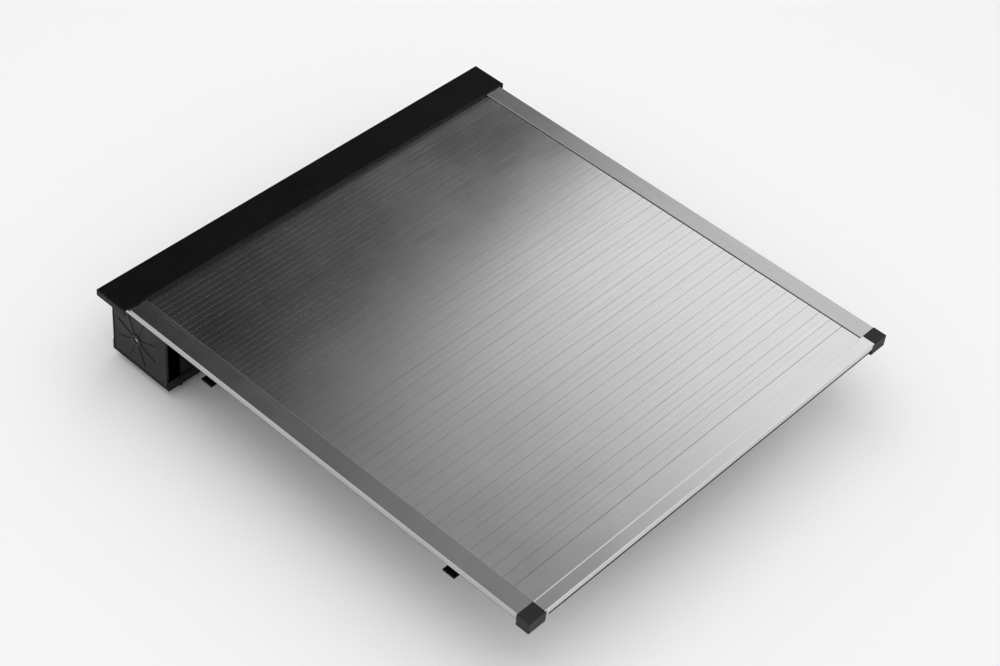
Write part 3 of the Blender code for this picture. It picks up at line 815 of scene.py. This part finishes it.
# ---------------------------------------------------------------- studio
def build_floor(level):
    """A wide pale floor just under the part."""
    shape = bmesh.new()
    bmesh.ops.create_grid(shape, x_segments=1, y_segments=1, size=30.0)
    mesh = bpy.data.meshes.new("floor")
    shape.to_mesh(mesh)
    shape.free()
    floor = bpy.data.objects.new("floor", mesh)
    floor.location = (0, 0, level)
    bpy.context.scene.collection.objects.link(floor)
    look = Look("floor_paint", (0.86, 0.86, 0.86), 0.9)
    look.set(Specular_IOR_Level=0.1)
    mesh.materials.append(look.material)


def area_light(name, place, aim, size, power):
    """A lamp that lights and casts shadows but isn't mirrored in the metal."""
    data = bpy.data.lights.new(name, "AREA")
    data.shape = "RECTANGLE"
    data.size, data.size_y = size
    data.energy = power
    lamp = bpy.data.objects.new(name, data)
    lamp.location = place
    lamp.rotation_euler = (Vector(aim) - Vector(place)).to_track_quat("-Z", "Y").to_euler()
    lamp.visible_glossy = False
    bpy.context.scene.collection.objects.link(lamp)


def build_world(bright):
    """A white studio. A soft black flag on the cab's side gives the slats their gradient.

    Angles are in degrees: the azimuth from +Y towards +X, the height from the horizon.
    """
    world = bpy.data.worlds.new("studio")
    world.use_nodes = True
    bpy.context.scene.world = world
    sky = Nodes(world.node_tree)
    split = sky.node("SeparateXYZ")
    sky.feed(split.inputs[0], sky.node("TexCoord").outputs["Generated"])
    azimuth = sky.math("MULTIPLY", sky.math("ARCTAN2", split.outputs[0], split.outputs[1]), 180 / math.pi)
    height = sky.math("MULTIPLY", sky.math("ARCSINE", split.outputs[2]), 180 / math.pi)

    def ramp(value, start, end):
        """A soft ramp from 0 at its start to 1 at its end."""
        low, high = (0.0, 1.0) if start < end else (1.0, 0.0)
        return sky.spread(value, low, high, min(start, end), max(start, end), soft=True)

    def line(value, slope, level, start=0.0):
        """A straight line that is at its level where the value is at its start."""
        return sky.math("ADD", sky.math("MULTIPLY", value, slope), level - slope * start)

    # the lit side's edge lies at 53.3 degrees, leans with the height, and is sharpest low down
    raised = sky.math("MAXIMUM", height, 37.0)
    beyond = sky.math("ADD", azimuth, line(raised, 1.173, -53.3, start=40.0))
    width = sky.math("MAXIMUM", line(raised, 1.348, 2.9, start=40.0), 1.8)
    edge = ramp(sky.math("ADD", sky.math("DIVIDE", beyond, width), 0.5), 0.0, 1.0)
    # the light falls off towards the ceiling, over 13.5 degrees
    under = sky.math("SUBTRACT", line(azimuth, 0.424, 43.525, start=50.0), raised)
    ceiling = sky.spread(ramp(line(under, 1 / 13.5, 0.5), 0.0, 1.0), 0.182, 1.0)
    dark = line(ramp(azimuth, 41.0, 49.0), 0.08, 0.035)
    flagged = sky.math("ADD", dark, sky.math("MULTIPLY", sky.math("MULTIPLY", edge, ceiling), 1.04))
    # outside the flag's own window the studio is evenly bright
    front = sky.math("MULTIPLY", ramp(azimuth, 10.0, 34.0), ramp(azimuth, 150.0, 120.0))
    front = sky.math("MULTIPLY", front, ramp(height, 80.0, 70.0))
    light = sky.math("ADD", sky.math("MULTIPLY", flagged, front), line(front, -bright, bright))
    # low down all round it is evenly lit too, for what is seen at a grazing angle
    low = ramp(height, 30.0, 14.0)
    above = sky.math("MULTIPLY", light, line(low, -1.0, 1.0))
    light = sky.math("ADD", above, sky.math("MULTIPLY", low, 0.7))
    background = sky.tree.nodes["Background"]
    background.inputs["Color"].default_value = (1.0, 1.0, 1.0, 1.0)
    sky.feed(background.inputs["Strength"], light)


def place_camera():
    """Stands behind the left rear corner, turned the shortest way to face the middle of the cover."""
    data = bpy.data.cameras.new("camera")
    data.sensor_width = 36.0
    data.lens = 80.0
    camera = bpy.data.objects.new("camera", data)
    eye = Vector((-3.416, -3.498, 4.175))
    azimuth, elevation = math.radians(42.0), math.radians(42.06)
    level = math.cos(elevation)
    forward = Vector((level * math.sin(azimuth), level * math.cos(azimuth), -math.sin(elevation)))
    upright = forward.to_track_quat("-Z", "Y")
    aim = Vector((0.0, -0.80, -0.05)) - eye
    turn = forward.rotation_difference(aim)
    camera.rotation_mode = "QUATERNION"
    camera.rotation_quaternion = turn @ upright
    camera.location = eye
    bpy.context.scene.collection.objects.link(camera)
    bpy.context.scene.camera = camera


build_floor(CAD_BOX[0][2] - 0.001)
build_world(0.95)
area_light("ceiling_softbox", (0.0, -0.8, 5.0), (0.0, -0.8, 0.0), (6.0, 6.0), 95.0)
place_camera()
bpy.context.scene.view_settings.view_transform = "Standard"
